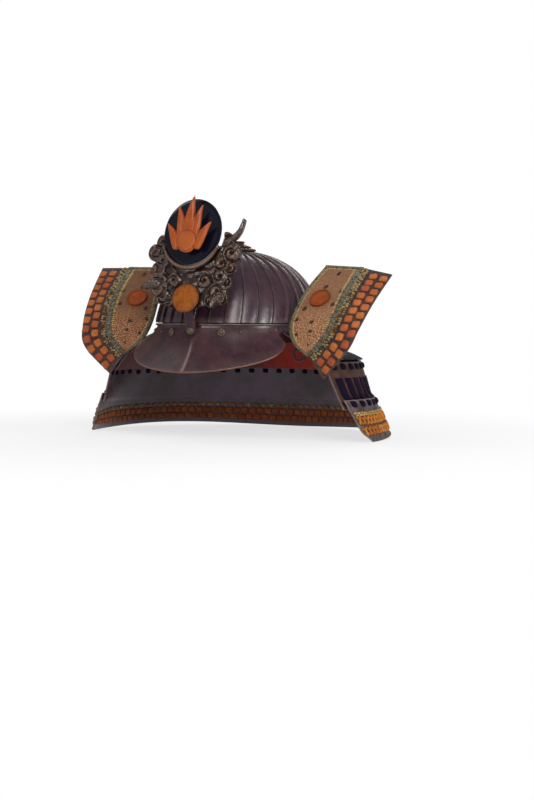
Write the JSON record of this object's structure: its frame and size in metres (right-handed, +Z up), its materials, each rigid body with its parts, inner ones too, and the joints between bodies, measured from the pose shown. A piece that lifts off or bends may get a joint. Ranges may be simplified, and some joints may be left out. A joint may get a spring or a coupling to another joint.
{
  "type": "samurai helmet",
  "caption": "Ribbed-plate samurai helmet with a wide visor, turned-back wings, a flared laced neck guard that hangs in lames, and a lift-off crest of cloud scrolls and discs.",
  "frame": {"origin": "on the centre plane, in the middle of the head opening, level with the lower edge of the base band", "axes": "+Z up, -Y out of the face, +X to the wearer's left"},
  "size_m": [0.4621, 0.3566, 0.3294],
  "materials": {
    "russet_iron": "satin russet-brown lacquer over iron",
    "old_gold": "worn gilt copper",
    "red_lacquered_rawhide": "satin red lacquer inside, dark lacquer outside",
    "dark_lacquered_rawhide": "satin dark lacquer",
    "dark_iron": "dark satin iron",
    "blue_lacing": "braided silk",
    "orange_lacing": "braided silk",
    "printed_leather": "printed with small dots and flowers",
    "green_braid": "braided border",
    "red_lacquer": "satin red-orange lacquer",
    "carved_bronze_lacquer": "dark bronze lacquer over carving",
    "black_lacquer": "glossy blue-black lacquer",
    "gold_lacquer": "satin gold lacquer",
    "lining_cloth": "quilted hemp cloth",
    "lining_leather": "plain band"
  },
  "bodies": {
    "helmet": {"bowl_plates": "russet_iron", "bowl_rim": "old_gold", "base_band": "russet_iron", "crown_seat": "old_gold", "crown_flower": "old_gold", "crown_ring": "old_gold", "visor": "russet_iron", "visor_edging": "old_gold", "visor_rosettes": "old_gold", "visor_studs": "old_gold", "neck_lame_1": "red_lacquered_rawhide", "neck_lame_2": "red_lacquered_rawhide", "neck_rivets": "dark_iron", "lacing_1_2": "blue_lacing", "lacing_2_3": "blue_lacing", "left_wing_plate": "dark_lacquered_rawhide", "left_wing_leather": "printed_leather", "left_wing_piping": "green_braid", "left_wing_badge": "red_lacquer", "left_laced_wing": "dark_lacquered_rawhide", "left_wing_blocks": "orange_lacing", "right_wing_plate": "dark_lacquered_rawhide", "right_wing_leather": "printed_leather", "right_wing_piping": "green_braid", "right_wing_badge": "red_lacquer", "right_laced_wing": "dark_lacquered_rawhide", "right_wing_blocks": "orange_lacing", "crest_holder": "russet_iron", "lining_cap": "lining_cloth", "lining_band": "lining_leather", "left_ring_staple": "dark_iron", "right_ring_staple": "dark_iron", "back_ring_staple": "old_gold"},
    "crest": {"crest_tang": "dark_iron", "cloud_mount": "carved_bronze_lacquer", "disc_lip": "carved_bronze_lacquer", "dark_disc": "black_lacquer", "gold_disc": "gold_lacquer", "flame_ornament": "red_lacquer", "crest_pins": "dark_iron"},
    "lame_3": {"neck_lame_3": "dark_lacquered_rawhide", "lame_3_knuckles": "blue_lacing", "lacing_3_4": "blue_lacing"},
    "lame_4": {"neck_lame_4": "dark_lacquered_rawhide", "lame_4_knuckles": "blue_lacing", "cross_lacing": "orange_lacing", "inner_blocks": "orange_lacing", "lame_4_edging": "dark_iron"},
    "left_ring": {"left_chin_ring": "dark_iron"},
    "right_ring": {"right_chin_ring": "dark_iron"},
    "rear_ring": {"back_ring": "dark_iron"}
  },
  "joints": [
    {"name": "crest_lift", "type": "slide", "parent": "helmet", "child": "crest", "axis": [0, -0.2756, 0.9613], "range_m": [0, 0.028]},
    {"name": "lame_3_rise", "type": "slide", "parent": "helmet", "child": "lame_3", "axis": [0, 0, 1], "range_m": [0, 0.008], "deforming": ["lacing_2_3"]},
    {"name": "lame_4_rise", "type": "slide", "parent": "lame_3", "child": "lame_4", "axis": [0, 0, 1], "range_m": [0, 0.008], "deforming": ["lacing_3_4"]},
    {"name": "left_ring_swing", "type": "hinge", "parent": "helmet", "child": "left_ring", "pos_m": [0.12118, -0.0501, -0.00735], "axis": [1, 0, 0], "range_deg": [-30, 30]},
    {"name": "right_ring_swing", "type": "hinge", "parent": "helmet", "child": "right_ring", "pos_m": [-0.12118, -0.0501, -0.00735], "axis": [1, 0, 0], "range_deg": [-30, 30]},
    {"name": "back_ring_swing", "type": "hinge", "parent": "helmet", "child": "rear_ring", "pos_m": [0, 0.13459, 0.07324], "axis": [1, 0, 0], "range_deg": [0, 90]}
  ]
}
